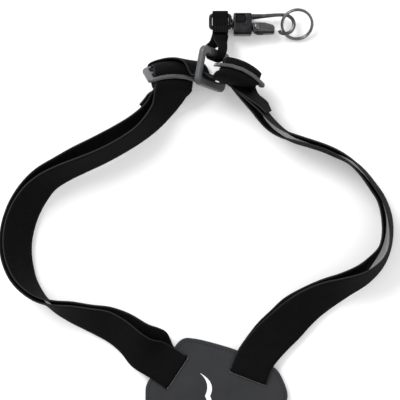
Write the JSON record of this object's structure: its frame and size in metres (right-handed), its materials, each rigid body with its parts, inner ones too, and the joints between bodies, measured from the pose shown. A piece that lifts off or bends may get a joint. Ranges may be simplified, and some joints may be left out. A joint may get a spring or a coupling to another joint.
{
  "type": "binocular shoulder harness",
  "caption": "Flat webbing shoulder harness with a slotted leather back patch, tri-glide sliders, strap rings and swivel snap hooks that carry binoculars.",
  "frame": {"origin": "centre of the underside of the patch lining, where the harness rests on the back", "axes": "+Y towards the right shoulder loop, +X towards the underarm side, +Z out of the leather face"},
  "size_m": [0.256, 0.505, 0.0352],
  "materials": {
    "patch_leather": "fine grained satin",
    "lining_fabric": "matte",
    "badge_print": "matte raised print",
    "webbing": "ribbed weave",
    "tab_fabric": "ribbed weave",
    "slider_plastic": "satin",
    "ring_plastic": "satin",
    "button_plastic": "matte",
    "gunmetal": "dark plated",
    "bright_steel": "plated"
  },
  "bodies": {
    "harness": {"back_patch": "patch_leather", "patch_lining": "lining_fabric", "patch_badge": "badge_print", "right_shoulder_webbing": "webbing", "right_underarm_webbing": "webbing", "left_shoulder_webbing": "webbing", "left_underarm_webbing": "webbing"},
    "right_shoulder_slider": {"right_shoulder_slider": "slider_plastic"},
    "right_underarm_slider": {"right_underarm_slider": "slider_plastic"},
    "right_strap_ring": {"right_strap_ring": "ring_plastic"},
    "right_tab_webbing": {"right_tab_webbing": "tab_fabric"},
    "right_swivel_eye": {"right_swivel_eye": "gunmetal"},
    "right_gate_lever": {"right_gate_lever": "gunmetal"},
    "right_split_ring": {"right_split_ring": "bright_steel"},
    "right_hook": {"right_hook_body": "gunmetal", "right_gate_rivet": "bright_steel", "right_hook_button": "button_plastic"},
    "left_shoulder_slider": {"left_shoulder_slider": "slider_plastic"},
    "left_underarm_slider": {"left_underarm_slider": "slider_plastic"},
    "left_strap_ring": {"left_strap_ring": "ring_plastic"},
    "left_tab_webbing": {"left_tab_webbing": "tab_fabric"},
    "left_swivel_eye": {"left_swivel_eye": "gunmetal"},
    "left_gate_lever": {"left_gate_lever": "gunmetal"},
    "left_split_ring": {"left_split_ring": "bright_steel"},
    "left_hook": {"left_hook_body": "gunmetal", "left_gate_rivet": "bright_steel", "left_hook_button": "button_plastic"}
  },
  "joints": [
    {"name": "right_shoulder_adjust", "type": "slide", "parent": "harness", "child": "right_shoulder_slider", "axis": [-0.2759, 0.4946, -0.8242], "range_m": [-0.004, 0.002], "deforming": ["right_shoulder_webbing"]},
    {"name": "right_underarm_adjust", "type": "slide", "parent": "harness", "child": "right_underarm_slider", "axis": [0.0852, -0.1034, 0.991], "range_m": [-0.002, 0.004], "deforming": ["right_underarm_webbing"]},
    {"name": "right_ring_swing", "type": "hinge", "parent": "harness", "child": "right_strap_ring", "pos_m": [-0.00472, 0.2022, 0.01723], "axis": [-0.5006, 0.0901, 0.861], "range_deg": [0, 25]},
    {"name": "right_tab_swing", "type": "hinge", "parent": "right_strap_ring", "child": "right_tab_webbing", "pos_m": [-0.00128, 0.2218, 0.01717], "axis": [-0.5006, 0.0901, 0.861], "range_deg": [-25, 30]},
    {"name": "right_eye_swing", "type": "hinge", "parent": "right_tab_webbing", "child": "right_swivel_eye", "pos_m": [0.0022, 0.2486, 0.0059], "axis": [1, 0, 0], "range_deg": [-3, 25]},
    {"name": "right_hook_swivel", "type": "hinge", "parent": "right_swivel_eye", "child": "right_hook", "pos_m": [0.012, 0.2424, 0.0059], "axis": [1, 0, 0], "continuous": true},
    {"name": "right_gate_open", "type": "hinge", "parent": "right_hook", "child": "right_gate_lever", "pos_m": [0.026, 0.2405, 0.0059], "axis": [0, 0, 1], "range_deg": [0, 25], "stiffness_Nm_per_rad": 0.02, "springref_deg": -20.05},
    {"name": "right_split_ring_swing", "type": "hinge", "parent": "right_hook", "child": "right_split_ring", "pos_m": [0.0442, 0.2425, 0.0059], "axis": [0, -1, 0], "range_deg": [-16, 18]},
    {"name": "left_shoulder_adjust", "type": "slide", "parent": "harness", "child": "left_shoulder_slider", "axis": [-0.2759, -0.4946, -0.8242], "range_m": [-0.004, 0.002], "deforming": ["left_shoulder_webbing"]},
    {"name": "left_underarm_adjust", "type": "slide", "parent": "harness", "child": "left_underarm_slider", "axis": [0.0852, 0.1034, 0.991], "range_m": [-0.002, 0.004], "deforming": ["left_underarm_webbing"]},
    {"name": "left_ring_swing", "type": "hinge", "parent": "harness", "child": "left_strap_ring", "pos_m": [-0.00472, -0.2022, 0.01723], "axis": [0.5006, 0.0901, -0.861], "range_deg": [0, 25]},
    {"name": "left_tab_swing", "type": "hinge", "parent": "left_strap_ring", "child": "left_tab_webbing", "pos_m": [-0.00128, -0.2218, 0.01717], "axis": [0.5006, 0.0901, -0.861], "range_deg": [-25, 30]},
    {"name": "left_eye_swing", "type": "hinge", "parent": "left_tab_webbing", "child": "left_swivel_eye", "pos_m": [0.0022, -0.2486, 0.0059], "axis": [-1, 0, 0], "range_deg": [-3, 25]},
    {"name": "left_hook_swivel", "type": "hinge", "parent": "left_swivel_eye", "child": "left_hook", "pos_m": [0.012, -0.2424, 0.0059], "axis": [-1, 0, 0], "continuous": true},
    {"name": "left_gate_open", "type": "hinge", "parent": "left_hook", "child": "left_gate_lever", "pos_m": [0.026, -0.2405, 0.0059], "axis": [0, 0, -1], "range_deg": [0, 25], "stiffness_Nm_per_rad": 0.02, "springref_deg": -20.05},
    {"name": "left_split_ring_swing", "type": "hinge", "parent": "left_hook", "child": "left_split_ring", "pos_m": [0.0442, -0.2425, 0.0059], "axis": [0, -1, 0], "range_deg": [-16, 18]}
  ]
}
